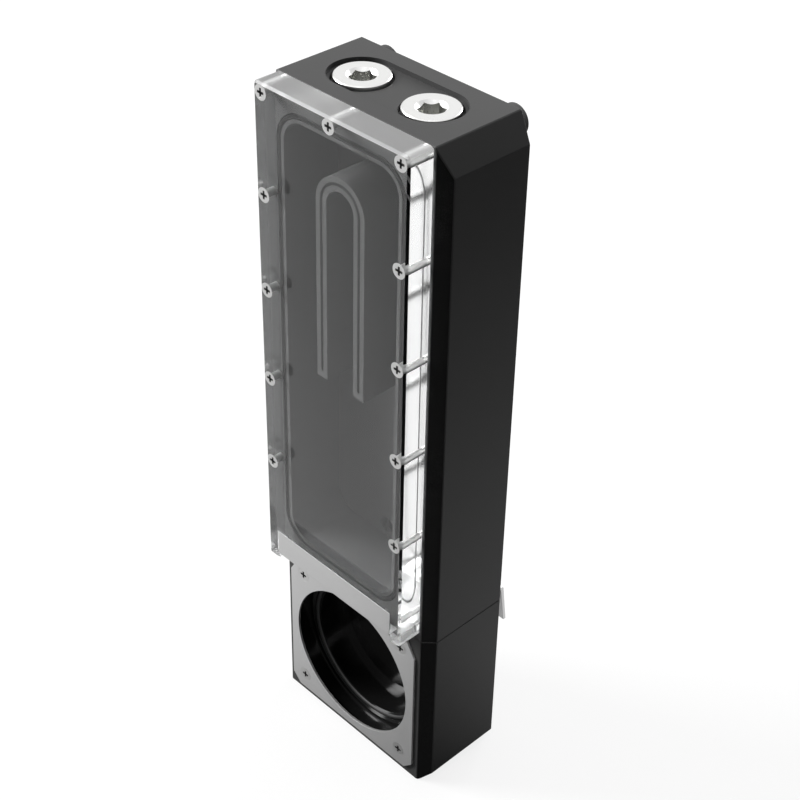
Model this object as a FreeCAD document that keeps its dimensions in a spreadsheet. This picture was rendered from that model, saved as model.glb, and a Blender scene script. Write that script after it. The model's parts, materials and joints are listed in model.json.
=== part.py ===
import FreeCAD, Part
import math
import os
from types import SimpleNamespace

import Sketcher

# Coolant reservoir with a pump bay: a milled tank block stands on a pump block, a clear window
# closes the tank, and a folded steel plate holds the pump in its bay.
# Millimetres. X runs across the window, Y from front to back, Z up. The origin is the middle of
# the base, half way between the front and back faces of the blocks.

SIZES = {
    "block_width": 80.0,
    "block_depth": 37.0,
    "block_height": 270.0,
    "front_facet": 4.2,
    "crown_run": 4.4,
    "crown_drop": 10.4,
    "base_chamfer": 3.6,
    "edge_break": 0.3,
    # Tank: the cavity's distance from the window's sides, the joint, the top and the back
    "cavity_side": 8.8,
    "cavity_foot": 16.9,
    "cavity_head": 11.1,
    "cavity_wall": 14.0,
    "cavity_corner": 8.6,
    "seal_offset": 2.4,
    "seal_cord": 1.9,
    "baffle_width": 22.6,
    "baffle_wall": 5.0,
    "baffle_drop": 34.1,
    "baffle_leg": 68.4,
    "baffle_cord": 1.1,
    "baffle_groove_inset": 2.6,
    "groove_gap": 0.1,
    # Window: distances from the block's sides and the joint, and of the screws from the edges
    "window_side": 5.0,
    "window_foot": 3.0,
    "window_thickness": 10.0,
    "window_corner": 1.5,
    "window_bevel": 0.75,
    "window_screw_side": 3.5,
    "window_screw_drop": 3.4,
    "window_screw_foot": 48.4,
    "window_screw_count": 5,
    "lower_screw_side": 5.8,
    "lower_screw_edge": 3.65,
    "window_screw_head": 5.5,
    "window_screw_shank": 3.0,
    "window_screw_length": 16.0,
    "screw_gap": 0.08,
    # Ports
    "port_bore": 13.16,
    "port_spacing": 31.0,
    "recess_radius": 11.6,
    "recess_depth": 1.7,
    "plug_seat": 20.8,
    "plug_seat_depth": 2.0,
    "rear_port_depth": 9.0,
    "passage_bore": 8.0,
    "return_below": 4.9,
    "outlet_across": 14.0,
    "outlet_below": 12.0,
    # Screw plugs
    "plug_head": 19.0,
    "plug_head_height": 3.2,
    "plug_neck": 12.0,
    "plug_thread_gap": 0.05,
    "plug_thread_length": 7.0,
    "plug_socket": 8.0,
    "plug_socket_depth": 5.5,
    "plug_rim": 0.6,
    "plug_head_bevel": 0.3,
    "plug_thread_bevel": 0.6,
    "plug_ring": 15.0,
    "plug_ring_cord": 1.6,
    "plug_ring_gap": 0.35,
    # Pump bay: the walls under and over its mouth make the pump block's height
    "bay_mouth": 63.0,
    "bay_floor": 5.1,
    "bay_roof": 3.9,
    "bay_mouth_depth": 8.5,
    "bay_ledge": 4.0,
    "bay_bore_depth": 20.0,
    "volute_ledge": 3.5,
    "volute_depth": 23.5,
    "inlet_bore": 14.0,
    "channel_bore": 8.0,
    "channel_inset": 8.0,
    "channel_rise": 9.1,
    "channel_mouth": 6.5,
    "suction_ring": 11.8,
    "suction_cord": 1.8,
    "seat_cord": 2.0,
    # Retaining plate
    "plate_thickness": 1.0,
    "plate_web": 3.7,
    "plate_foot": 3.0,
    "plate_corner": 4.0,
    "plate_shoulder_drop": 10.0,
    "plate_shoulder_rise": 6.5,
    "plate_lip": 1.5,
    "plate_bend": 0.8,
    "strip_side": 5.2,
    "strip_foot": 5.2,
    "strip_height": 11.1,
    "strip_gap": 0.15,
    "plate_screw_spacing": 53.0,
    "plate_screw_head": 5.5,
    "plate_screw_shank": 3.0,
    "plate_screw_length": 10.0,
    # Fasteners that join the two blocks
    "bolt_side": 7.4,
    "bolt_front_inset": 14.0,
    "bolt_rear_inset": 6.0,
    "bolt_shank": 4.0,
    "bolt_head": 7.0,
    "bolt_head_height": 4.0,
    "bolt_sink": 4.5,
    "bolt_length": 80.0,
    "bolt_socket": 3.0,
    "bolt_socket_depth": 2.0,
    "dowel_inset": 22.5,
    "dowel_diameter": 4.0,
    "dowel_length": 12.0,
    "dowel_gap": 0.02,
    # Rear hook and bumpers
    "hook_thickness": 1.2,
    "hook_side": 3.5,
    "hook_rise": 0.6,
    "hook_drop": 30.0,
    "hook_reach": 3.0,
    "hook_flare": 2.4,
    "hook_lip": 17.5,
    "hook_bend": 1.0,
    "hook_screw_side": 12.5,
    "hook_screw_edge": 5.5,
    "small_head": 5.5,
    "small_head_height": 1.7,
    "small_shank": 3.0,
    "small_screw_grip": 5.0,
    "small_socket": 2.0,
    "small_socket_depth": 1.0,
    "bumper_side": 11.5,
    "bumper_drop": 8.0,
    "bumper_diameter": 11.0,
    "bumper_height": 6.0,
    "bumper_edge": 0.6,
    "bumper_floor": 1.5,
}

FULL_TURN = 360
QUARTER_TURN = 90
# How far the sockets of the screw plugs are turned, in degrees, once the plugs are tight
SOCKET_TURN = 16
TAN_30 = math.tan(math.radians(30))
ONE_OVER_COS_30 = 1 / math.cos(math.radians(30))
# How far a cut starts outside the face that it enters
OVERRUN = 1.0
# Two lengths closer than this are the same
TOLERANCE = 0.01
NO_GAP = 0
# Cross recess: reach and half arm as shares of a screw's head, depth as a share of the countersink's
CROSS_REACH = 0.28
CROSS_HALF_ARM = 0.08
CROSS_DEPTH = 0.8
# Depth of the pump's seal groove as a share of its cord, which stands out of it by the rest
SEAT_GROOVE_SHARE = 0.75


class Size:
    """A size that carries the spreadsheet formula it comes from."""

    def __init__(self, formula, value):
        self.formula = formula
        self.value = value

    def __add__(self, other):
        return Size(f"({self.formula} + {formula_of(other)})", self.value + value_of(other))

    def __sub__(self, other):
        return Size(f"({self.formula} - {formula_of(other)})", self.value - value_of(other))

    def __mul__(self, factor):
        return Size(f"({self.formula} * {formula_of(factor)})", self.value * value_of(factor))

    def __truediv__(self, divisor):
        return Size(f"({self.formula} / {formula_of(divisor)})", self.value / value_of(divisor))

    def __neg__(self):
        return Size(f"(0 - {self.formula})", -self.value)


def formula_of(quantity):
    return quantity.formula if isinstance(quantity, Size) else repr(quantity)


def value_of(quantity):
    return quantity.value if isinstance(quantity, Size) else quantity


def make_sheet(doc):
    sheet = doc.addObject("Spreadsheet::Sheet", "Sizes")
    for row, (name, value) in enumerate(SIZES.items(), start=1):
        sheet.set(f"A{row}", name)
        sheet.set(f"B{row}", str(value))
        sheet.setAlias(f"B{row}", name)
    doc.recompute()
    return SimpleNamespace(**{name: Size(f"Sizes.{name}", float(sheet.get(name))) for name in SIZES})


def bind(item, path, quantity):
    """Ties a property to the sheet; a plain number is left as the constant that it is."""
    item.setExpression(path, formula_of(quantity))


# Sketches

def plane_of(body, role):
    return next(item for item in body.Origin.OriginFeatures if item.Role == role)


def new_body(doc, name):
    body = doc.addObject("PartDesign::Body", name)
    body.Label = name
    body.AllowCompound = True
    return body


def new_sketch(body, name, plane, offset=(0, 0, 0)):
    """A sketch on one of the body's origin planes, moved by an offset in the sketch's own axes."""
    sketch = body.newObject("Sketcher::SketchObject", f"{body.Name}_{name}")
    sketch.AttachmentSupport = [(plane_of(body, plane), "")]
    sketch.MapMode = "FlatFace"
    for axis, shift in zip("xyz", offset):
        if isinstance(shift, Size):
            bind(sketch, f"AttachmentOffset.Base.{axis}", shift)
    return sketch


def front_sketch(body, name, y):
    """A sketch that faces forwards: X across, Z up, at depth y."""
    return new_sketch(body, name, "XZ_Plane", (0, 0, -y))


def level_sketch(body, name, z):
    """A horizontal sketch at height z."""
    return new_sketch(body, name, "XY_Plane", (0, 0, z))


def vector_of(corner):
    return FreeCAD.Vector(value_of(corner[0]), value_of(corner[1]), 0)


def hold_coordinate(sketch, kind, geometry, position, quantity):
    if not isinstance(quantity, Size):
        axis = -2 if kind == "DistanceX" else -1
        sketch.addConstraint(Sketcher.Constraint("PointOnObject", geometry, position, axis))
        return
    index = sketch.addConstraint(Sketcher.Constraint(kind, geometry, position, quantity.value))
    bind(sketch, f"Constraints[{index}]", quantity)


def hold_point(sketch, geometry, position, corner):
    hold_coordinate(sketch, "DistanceX", geometry, position, corner[0])
    hold_coordinate(sketch, "DistanceY", geometry, position, corner[1])


def add_arc(sketch, start, finish, centre, leftwards):
    """Adds an arc and returns it with the ends at which the outline enters and leaves it."""
    middle = vector_of(centre)
    first, last = (start, finish) if leftwards else (finish, start)
    angles = [math.atan2((end - middle).y, (end - middle).x) for end in (first, last)]
    if angles[1] <= angles[0]:
        angles[1] += 2 * math.pi
    circle = Part.Circle(middle, FreeCAD.Vector(0, 0, 1), (start - middle).Length)
    geometry = sketch.addGeometry(Part.ArcOfCircle(circle, *angles))
    if near(start.y, finish.y):
        hold_coordinate(sketch, "DistanceY", geometry, 3, centre[1])
    else:
        hold_coordinate(sketch, "DistanceX", geometry, 3, centre[0])
    return (geometry, 1, 2) if leftwards else (geometry, 2, 1)


def outline(sketch, corners, arcs=None):
    """Adds a closed outline. arcs maps an edge's number to its centre and whether it turns left."""
    arcs = arcs or {}
    edges = []
    for index, corner in enumerate(corners):
        start = vector_of(corner)
        finish = vector_of(corners[(index + 1) % len(corners)])
        if index in arcs:
            edges.append(add_arc(sketch, start, finish, *arcs[index]))
        else:
            edges.append((sketch.addGeometry(Part.LineSegment(start, finish)), 1, 2))
    for index, (geometry, first, last) in enumerate(edges):
        following = edges[(index + 1) % len(edges)]
        sketch.addConstraint(Sketcher.Constraint("Coincident", geometry, last, following[0], following[1]))
        hold_point(sketch, geometry, first, corners[index])


def circle(sketch, x, y, diameter):
    centre = vector_of((x, y))
    radius = value_of(diameter) / 2
    geometry = sketch.addGeometry(Part.Circle(centre, FreeCAD.Vector(0, 0, 1), radius))
    hold_point(sketch, geometry, 3, (x, y))
    index = sketch.addConstraint(Sketcher.Constraint("Diameter", geometry, 2 * radius))
    bind(sketch, f"Constraints[{index}]", diameter)


def rectangle(sketch, left, right, bottom, top):
    outline(sketch, [(left, bottom), (right, bottom), (right, top), (left, top)])


def rounded_rectangle(sketch, half_width, bottom, top, radius):
    inner = half_width - radius
    low = bottom + radius
    high = top - radius
    corners = [
        (-inner, bottom), (inner, bottom), (half_width, low), (half_width, high),
        (inner, top), (-inner, top), (-half_width, high), (-half_width, low),
    ]
    arcs = {
        1: ((inner, low), True),
        3: ((inner, high), True),
        5: ((-inner, high), True),
        7: ((-inner, low), True),
    }
    outline(sketch, corners, arcs)


def arch(sketch, outer, inner, foot, spring):
    """A band in the form of an upturned U."""
    corners = [
        (-outer, foot), (-inner, foot), (-inner, spring), (inner, spring),
        (inner, foot), (outer, foot), (outer, spring), (-outer, spring),
    ]
    outline(sketch, corners, {2: ((0, spring), False), 6: ((0, spring), True)})


def slot(sketch, reach, radius):
    """A racetrack about the sketch's origin, along its X axis."""
    corners = [(-reach, -radius), (reach, -radius), (reach, radius), (-reach, radius)]
    outline(sketch, corners, {1: ((reach, 0), True), 3: ((-reach, 0), True)})


def hexagon(sketch, across_flats):
    flat = across_flats / 2
    side = flat * TAN_30
    point = flat * ONE_OVER_COS_30
    corners = [(flat, -side), (flat, side), (0, point), (-flat, side), (-flat, -side), (0, -point)]
    outline(sketch, corners)


def cross(sketch, reach, half_arm):
    corners = [
        (-half_arm, -reach), (half_arm, -reach), (half_arm, -half_arm), (reach, -half_arm),
        (reach, half_arm), (half_arm, half_arm), (half_arm, reach), (-half_arm, reach),
        (-half_arm, half_arm), (-reach, half_arm), (-reach, -half_arm), (-half_arm, -half_arm),
    ]
    outline(sketch, corners)


# Features

def pad(body, sketch, length, backwards=False):
    feature = body.newObject("PartDesign::Pad", f"{sketch.Name}_pad")
    feature.Profile = sketch
    feature.Reversed = backwards
    bind(feature, "Length", length)
    return feature


def pocket(body, sketch, depth=None, backwards=False):
    """Cuts against the sketch's normal: backwards in a front sketch, down in a level one."""
    feature = body.newObject("PartDesign::Pocket", f"{sketch.Name}_pocket")
    feature.Profile = sketch
    feature.Reversed = backwards
    if depth is None:
        feature.Type = "ThroughAll"
    else:
        bind(feature, "Length", depth)
    return feature


def turned(body, sketch, axis, kind="Revolution"):
    feature = body.newObject(f"PartDesign::{kind}", f"{sketch.Name}_{kind.lower()}")
    feature.Profile = sketch
    feature.ReferenceAxis = (sketch, [axis])
    feature.Angle = FULL_TURN
    return feature


def pattern(body, originals, sketch, across, upward=None):
    """Repeats features along one or two of a sketch's axes; each is (axis, length, count)."""
    feature = body.newObject("PartDesign::LinearPattern", f"{originals[0].Name}_pattern")
    feature.Originals = originals
    for suffix, step in (("", across), ("2", upward)):
        if step is None:
            continue
        axis, length, count = step
        setattr(feature, f"Direction{suffix}", (sketch, [axis]))
        bind(feature, f"Length{suffix}", length)
        bind(feature, f"Occurrences{suffix}", count)
    body.Tip = feature
    return feature


def dress(body, kind, base, edges, size):
    """Chamfers or fillets the named edges, or all of them."""
    feature = body.newObject(f"PartDesign::{kind}", f"{base.Name}_{kind.lower()}")
    feature.Base = (base, edges or [""])
    feature.UseAllEdges = not edges
    bind(feature, "Size" if kind == "Chamfer" else "Radius", size)
    return feature


def edges_where(feature, test):
    return [f"Edge{n}" for n, edge in enumerate(feature.Shape.Edges, start=1) if test(edge.BoundBox)]


def near(first, second):
    return abs(first - second) < TOLERANCE


def runs_across(box):
    """Whether an edge's box is a line along X."""
    return box.YLength < TOLERANCE and box.ZLength < TOLERANCE


def runs_back(box):
    """Whether an edge's box is a line along Y."""
    return box.XLength < TOLERANCE and box.ZLength < TOLERANCE


# Places that several pieces share

def places(s):
    p = SimpleNamespace()
    p.half_width = s.block_width / 2
    p.front = -s.block_depth / 2
    p.back = s.block_depth / 2
    p.bay_height = s.bay_floor + s.bay_mouth / 2
    p.joint_height = s.bay_floor + s.bay_mouth + s.bay_roof
    add_window_places(s, p)
    add_tank_places(s, p)
    add_bay_places(s, p)
    p.bolt_spacing = (p.half_width - s.bolt_side) * 2
    p.bolt_rear = p.back - s.bolt_rear_inset
    p.bolt_depth_span = s.block_depth - s.bolt_front_inset - s.bolt_rear_inset
    p.dowel_depth = p.front + s.dowel_inset
    p.hook_half = p.half_width - s.hook_side
    p.hook_top = p.joint_height + s.hook_rise
    p.hook_foot = p.joint_height - s.hook_drop
    p.hook_screw_spacing = (p.hook_half - s.hook_screw_side) * 2
    p.hook_screw_height = p.hook_foot + s.hook_screw_edge
    p.bumper_spacing = (p.half_width - s.bumper_side) * 2
    p.bumper_height = s.block_height - s.bumper_drop
    return p


def add_window_places(s, p):
    p.window_half = p.half_width - s.window_side
    p.window_bottom = p.joint_height + s.window_foot
    p.window_front = p.front - s.window_thickness
    p.strip_half = p.window_half - s.strip_side
    p.strip_bottom = p.joint_height + s.strip_foot
    p.strip_top = p.strip_bottom + s.strip_height
    p.strip_back = p.window_front + s.plate_thickness
    p.rebate_back = p.strip_back + s.strip_gap
    p.notch_top = p.strip_bottom + s.plate_thickness + s.strip_gap
    p.window_screw_column = p.window_half - s.window_screw_side
    p.first_screw_height = p.joint_height + s.window_screw_foot
    p.top_screw_height = s.block_height - s.window_screw_drop
    p.screw_column_rise = p.top_screw_height - p.first_screw_height
    p.lower_screw_spacing = (p.strip_half - s.lower_screw_side) * 2
    p.lower_screw_height = p.notch_top + s.lower_screw_edge


def add_tank_places(s, p):
    p.cavity_half = p.window_half - s.cavity_side
    p.cavity_bottom = p.joint_height + s.cavity_foot
    p.cavity_top = s.block_height - s.cavity_head
    p.cavity_depth = s.block_depth - s.cavity_wall
    p.cavity_back = p.back - s.cavity_wall
    p.recess_floor = s.block_height - s.recess_depth
    p.seat_floor = p.recess_floor - s.plug_seat_depth
    p.seal_half_width = p.cavity_half + s.seal_offset
    p.seal_bottom = p.cavity_bottom - s.seal_offset
    p.seal_top = p.cavity_top + s.seal_offset
    p.seal_corner = s.cavity_corner + s.seal_offset
    p.seal_groove = s.seal_cord + s.groove_gap
    p.baffle_spring = s.block_height - s.baffle_drop
    p.baffle_foot = p.baffle_spring - s.baffle_leg
    p.baffle_middle = (s.baffle_width - s.baffle_wall) / 2
    p.baffle_groove = s.baffle_cord + s.groove_gap
    p.baffle_groove_foot = p.baffle_foot + s.baffle_groove_inset
    p.return_height = p.baffle_spring - s.return_below
    p.channel_axis = p.back - s.channel_inset
    p.channel_top = p.cavity_bottom + s.channel_rise


def add_bay_places(s, p):
    p.bay_bore = s.bay_mouth - s.bay_ledge * 2
    p.volute_bore = p.bay_bore - s.volute_ledge * 2
    p.seat_ring = (s.bay_mouth + p.bay_bore) / 2
    p.seat_ledge = p.front + s.bay_mouth_depth
    p.seat_groove_floor = p.seat_ledge + s.seat_cord * SEAT_GROOVE_SHARE
    p.outlet_height = p.bay_height - s.outlet_below
    p.plate_opening = s.bay_mouth - s.plate_lip * 2
    p.plate_half = p.plate_opening / 2 + s.plate_web
    p.plate_shoulder = p.joint_height - s.plate_shoulder_drop
    p.plate_screw_low = p.bay_height - s.plate_screw_spacing / 2


def block_outline(sketch, s, p):
    """Plan of both blocks: square at the back, with a facet on each front corner."""
    shoulder = p.half_width - s.front_facet
    facet_back = p.front + s.front_facet
    corners = [
        (-shoulder, p.front), (shoulder, p.front), (p.half_width, facet_back),
        (p.half_width, p.back), (-p.half_width, p.back), (-p.half_width, facet_back),
    ]
    outline(sketch, corners)


# Screws

def countersunk_outline(sketch, head, shank, length, gap):
    """Half of a countersunk screw, from its head at the sketch's origin along its Y axis.

    The head's cone runs at 45 degrees, so it is as deep as the radii differ.
    """
    head_radius = head / 2 + gap
    shank_radius = shank / 2 + gap
    corners = [
        (0, 0), (head_radius, 0), (shank_radius, (head - shank) / 2), (shank_radius, length + gap),
        (0, length + gap),
    ]
    outline(sketch, corners)


def countersunk_sketch(body, name, place, head, shank, length, gap):
    """A screw's half section in a horizontal sketch; the screw's axis is the sketch's Y axis."""
    x, y, z = place
    sketch = new_sketch(body, name, "XY_Plane", (x, y, z))
    countersunk_outline(sketch, head, shank, length, gap)
    return sketch


def countersunk_hole(body, name, place, head, shank, length, gap):
    sketch = countersunk_sketch(body, name, place, head, shank, length, gap)
    return sketch, turned(body, sketch, "V_Axis", "Groove")


def countersunk_screw(body, name, place, head, shank, length):
    """A screw that points backwards, with a cross recess in its head."""
    x, y, z = place
    sketch = countersunk_sketch(body, name, place, head, shank, length, NO_GAP)
    screw = turned(body, sketch, "V_Axis")
    recess = new_sketch(body, f"{name}_recess", "XZ_Plane", (x, z, -y))
    cross(recess, head * CROSS_REACH, head * CROSS_HALF_ARM)
    return sketch, screw, pocket(body, recess, (head - shank) / 2 * CROSS_DEPTH)


def window_screw(s):
    return s.window_screw_head, s.window_screw_shank, s.window_screw_length


def plate_screw(s):
    return s.plate_screw_head, s.plate_screw_shank, s.plate_screw_length


def window_screw_places(s, p):
    """The lowest screw of each column, the one in the middle of the top, and the hidden pair."""
    lower = p.lower_screw_spacing / 2
    return {
        "left": (-p.window_screw_column, p.window_front, p.first_screw_height),
        "right": (p.window_screw_column, p.window_front, p.first_screw_height),
        "top": (0, p.window_front, p.top_screw_height),
        "lower": (-lower, p.rebate_back, p.lower_screw_height),
    }


def column_step(s, p):
    return "N_Axis", p.screw_column_rise, s.window_screw_count


def cut_window_screws(body, s, p):
    """Cuts the holes of every window screw, in the window and in the tank alike."""
    place = window_screw_places(s, p)
    size = window_screw(s)
    for name in ("left", "right"):
        sketch, hole = countersunk_hole(body, f"{name}_holes", place[name], *size, s.screw_gap)
        pattern(body, [hole], sketch, column_step(s, p))
    countersunk_hole(body, "top_hole", place["top"], *size, s.screw_gap)
    sketch, hole = countersunk_hole(body, "lower_holes", place["lower"], *size, s.screw_gap)
    pattern(body, [hole], sketch, ("H_Axis", p.lower_screw_spacing, 2))


def make_window_screws(doc, s, p):
    place = window_screw_places(s, p)
    size = window_screw(s)
    for name in ("left", "right"):
        body = new_body(doc, f"window_screws_{name}")
        sketch, screw, recess = countersunk_screw(body, "screw", place[name], *size)
        pattern(body, [screw, recess], sketch, column_step(s, p))
    body = new_body(doc, "window_screw_top")
    countersunk_screw(body, "screw", place["top"], *size)
    body = new_body(doc, "window_screws_lower")
    sketch, screw, recess = countersunk_screw(body, "screw", place["lower"], *size)
    pattern(body, [screw, recess], sketch, ("H_Axis", p.lower_screw_spacing, 2))


def plate_screw_place(s, p):
    return -s.plate_screw_spacing / 2, p.front - s.plate_thickness, p.plate_screw_low


def cut_plate_screws(body, s, p):
    place = plate_screw_place(s, p)
    sketch, hole = countersunk_hole(body, "plate_screws", place, *plate_screw(s), s.screw_gap)
    step = s.plate_screw_spacing, 2
    pattern(body, [hole], sketch, ("H_Axis", *step), ("N_Axis", *step))


def make_plate_screws(doc, s, p):
    body = new_body(doc, "retaining_plate_screws")
    sketch, screw, recess = countersunk_screw(body, "screw", plate_screw_place(s, p), *plate_screw(s))
    step = s.plate_screw_spacing, 2
    pattern(body, [screw, recess], sketch, ("H_Axis", *step), ("N_Axis", *step))


# Tank block

def make_reservoir_body(doc, s, p):
    body = new_body(doc, "reservoir_body")
    plan = level_sketch(body, "plan", p.joint_height)
    block_outline(plan, s, p)
    pad(body, plan, s.block_height - p.joint_height)
    crown = front_sketch(body, "crown", p.front)
    shoulder = s.block_height - s.crown_drop
    for side in (-1, 1):
        outer = p.half_width * side
        inner = (p.half_width - s.crown_run) * side
        outline(crown, [(outer, shoulder), (outer, s.block_height), (inner, s.block_height)])
    shaped = pocket(body, crown)
    dress(body, "Chamfer", shaped, [], s.edge_break)

    cavity = front_sketch(body, "cavity", p.front)
    rounded_rectangle(cavity, p.cavity_half, p.cavity_bottom, p.cavity_top, s.cavity_corner)
    pocket(body, cavity, p.cavity_depth)
    baffle = front_sketch(body, "baffle", p.cavity_back)
    outer = s.baffle_width / 2
    arch(baffle, outer, outer - s.baffle_wall, p.baffle_foot, p.baffle_spring)
    pad(body, baffle, p.cavity_depth)

    groove = front_sketch(body, "seal_groove", p.front)
    half_groove = p.seal_groove / 2
    for shift in (-half_groove, half_groove):
        rounded_rectangle(groove, p.seal_half_width + shift, p.seal_bottom - shift,
                          p.seal_top + shift, p.seal_corner + shift)
    pocket(body, groove, p.seal_groove)
    baffle_groove = front_sketch(body, "baffle_groove", p.front)
    half_groove = p.baffle_groove / 2
    arch(baffle_groove, p.baffle_middle + half_groove, p.baffle_middle - half_groove,
         p.baffle_groove_foot, p.baffle_spring)
    pocket(body, baffle_groove, p.baffle_groove)

    cut_top_ports(body, s, p)
    cut_tank_passages(body, s, p)
    cut_joint_holes(body, s, p, above=True)
    cut_window_screws(body, s, p)
    bumper_holes = front_sketch(body, "bumper_holes", p.back)
    for side in (-1, 1):
        circle(bumper_holes, p.bumper_spacing / 2 * side, p.bumper_height, small_hole(s))
    pocket(body, bumper_holes, s.small_screw_grip + s.screw_gap, backwards=True)


def cut_top_ports(body, s, p):
    recess = level_sketch(body, "top_recess", s.block_height)
    slot(recess, s.port_spacing / 2, s.recess_radius)
    pocket(body, recess, s.recess_depth)
    seats = level_sketch(body, "plug_seats", p.recess_floor)
    ports = level_sketch(body, "top_ports", p.seat_floor)
    for side in (-1, 1):
        circle(seats, s.port_spacing / 2 * side, 0, s.plug_seat)
        circle(ports, s.port_spacing / 2 * side, 0, s.port_bore)
    pocket(body, seats, s.plug_seat_depth)
    pocket(body, ports, p.seat_floor - p.cavity_top)


def cut_rear_port(body, s, p, x, z, depth):
    """A threaded port in the back face, with a narrower passage to the given depth."""
    port = front_sketch(body, "rear_port", p.back)
    circle(port, x, z, s.port_bore)
    pocket(body, port, s.rear_port_depth, backwards=True)
    passage = front_sketch(body, "rear_passage", p.back)
    circle(passage, x, z, s.passage_bore)
    pocket(body, passage, depth, backwards=True)


def cut_tank_passages(body, s, p):
    cut_rear_port(body, s, p, 0, p.return_height, s.cavity_wall)
    riser = level_sketch(body, "suction_riser", p.joint_height)
    circle(riser, 0, p.channel_axis, s.channel_bore)
    pocket(body, riser, p.channel_top - p.joint_height, backwards=True)
    mouth = front_sketch(body, "suction_mouth", p.cavity_back)
    circle(mouth, 0, p.channel_top - s.channel_bore / 2, s.channel_mouth)
    pocket(body, mouth, s.cavity_wall - s.channel_inset)


def cut_joint_holes(body, s, p, above):
    """Cuts the bolt and dowel holes into a block from the joint face."""
    bolts = level_sketch(body, "bolt_holes", p.joint_height)
    dowels = level_sketch(body, "dowel_holes", p.joint_height)
    for side in (-1, 1):
        x = p.bolt_spacing / 2 * side
        circle(bolts, x, p.front + s.bolt_front_inset, s.bolt_shank + s.screw_gap * 2)
        circle(bolts, x, p.bolt_rear, s.bolt_shank + s.screw_gap * 2)
        circle(dowels, x, p.dowel_depth, s.dowel_diameter + s.dowel_gap * 2)
    bolt_end = s.bolt_sink + s.bolt_length - p.joint_height
    pocket(body, bolts, bolt_end + s.screw_gap if above else None, backwards=above)
    pocket(body, dowels, s.dowel_length / 2 + s.screw_gap, backwards=above)


# Pump block

def make_pump_housing(doc, s, p):
    body = new_body(doc, "pump_housing")
    plan = level_sketch(body, "plan", 0)
    block_outline(plan, s, p)
    pad(body, plan, p.joint_height)
    base = front_sketch(body, "base_chamfers", p.front)
    for side in (-1, 1):
        outer = p.half_width * side
        inner = (p.half_width - s.base_chamfer) * side
        outline(base, [(outer, 0), (outer, s.base_chamfer), (inner, 0)])
    shaped = pocket(body, base)
    dress(body, "Chamfer", shaped, [], s.edge_break)

    cut_pump_bay(body, s, p)
    riser = level_sketch(body, "suction_riser", p.joint_height)
    circle(riser, 0, p.channel_axis, s.channel_bore)
    pocket(body, riser, p.joint_height - p.bay_height)
    ring = level_sketch(body, "suction_groove", p.joint_height)
    groove = s.suction_cord / 2 + s.groove_gap
    circle(ring, 0, p.channel_axis, s.suction_ring + groove * 2)
    circle(ring, 0, p.channel_axis, s.suction_ring - groove * 2)
    pocket(body, ring, s.suction_cord + s.groove_gap)
    cut_rear_port(body, s, p, s.outlet_across, p.outlet_height, s.block_depth - s.volute_depth)
    cut_joint_holes(body, s, p, above=False)
    sinks = level_sketch(body, "bolt_sinks", 0)
    for side in (-1, 1):
        for depth in (p.front + s.bolt_front_inset, p.bolt_rear):
            circle(sinks, p.bolt_spacing / 2 * side, depth, s.bolt_head + s.screw_gap * 2)
    pocket(body, sinks, s.bolt_sink, backwards=True)
    cut_plate_screws(body, s, p)
    hook_holes = front_sketch(body, "hook_holes", p.back)
    for side in (-1, 1):
        circle(hook_holes, p.hook_screw_spacing / 2 * side, p.hook_screw_height, small_hole(s))
    pocket(body, hook_holes, s.small_screw_grip + s.screw_gap, backwards=True)


def cut_pump_bay(body, s, p):
    """Bores the stepped bay about its axis, with the seal groove in its first ledge."""
    profile = new_sketch(body, "bay", "YZ_Plane", (0, p.bay_height, 0))
    half_groove = s.seat_cord / 2 + s.groove_gap
    groove_outer = p.seat_ring / 2 + half_groove
    groove_inner = p.seat_ring / 2 - half_groove
    mouth = p.front - OVERRUN
    bore_end = p.front + s.bay_bore_depth
    volute_end = p.front + s.volute_depth
    corners = [
        (mouth, 0), (mouth, s.bay_mouth / 2), (p.seat_ledge, s.bay_mouth / 2),
        (p.seat_ledge, groove_outer), (p.seat_groove_floor, groove_outer),
        (p.seat_groove_floor, groove_inner), (p.seat_ledge, groove_inner),
        (p.seat_ledge, p.bay_bore / 2), (bore_end, p.bay_bore / 2),
        (bore_end, p.volute_bore / 2), (volute_end, p.volute_bore / 2),
        (volute_end, s.inlet_bore / 2), (p.channel_axis, s.inlet_bore / 2), (p.channel_axis, 0),
    ]
    outline(profile, corners)
    turned(body, profile, "H_Axis", "Groove")


# Window and its seals

def make_front_window(doc, s, p):
    body = new_body(doc, "front_window")
    half = p.window_half
    notch = p.strip_half + s.strip_gap
    pane = front_sketch(body, "pane", p.front)
    corners = [
        (-half, p.window_bottom), (-notch, p.window_bottom), (-notch, p.notch_top), (notch, p.notch_top),
        (notch, p.window_bottom), (half, p.window_bottom), (half, s.block_height), (-half, s.block_height),
    ]
    outline(pane, corners)
    slab = pad(body, pane, s.window_thickness)
    doc.recompute()
    side = value_of(half)
    corner_edges = edges_where(slab, lambda box: runs_back(box) and near(abs(box.XMin), side))
    rounded = dress(body, "Fillet", slab, corner_edges, s.window_corner)
    doc.recompute()
    face = value_of(p.window_front)
    front_edges = edges_where(rounded, lambda box: near(box.YMin, face) and near(box.YMax, face))
    dress(body, "Chamfer", rounded, front_edges, s.window_bevel)
    rebate = front_sketch(body, "strip_rebate", p.window_front)
    rectangle(rebate, -notch, notch, p.window_bottom, p.strip_top + s.strip_gap)
    pocket(body, rebate, s.plate_thickness + s.strip_gap)
    cut_window_screws(body, s, p)


def make_window_seal(doc, s, p):
    body = new_body(doc, "window_seal")
    cord_depth = p.front + p.seal_groove / 2
    path = front_sketch(body, "path", cord_depth)
    rounded_rectangle(path, p.seal_half_width, p.seal_bottom, p.seal_top, p.seal_corner)
    section = new_sketch(body, "section", "YZ_Plane")
    circle(section, cord_depth, p.seal_bottom, s.seal_cord)
    sweep(body, section, path)


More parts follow.
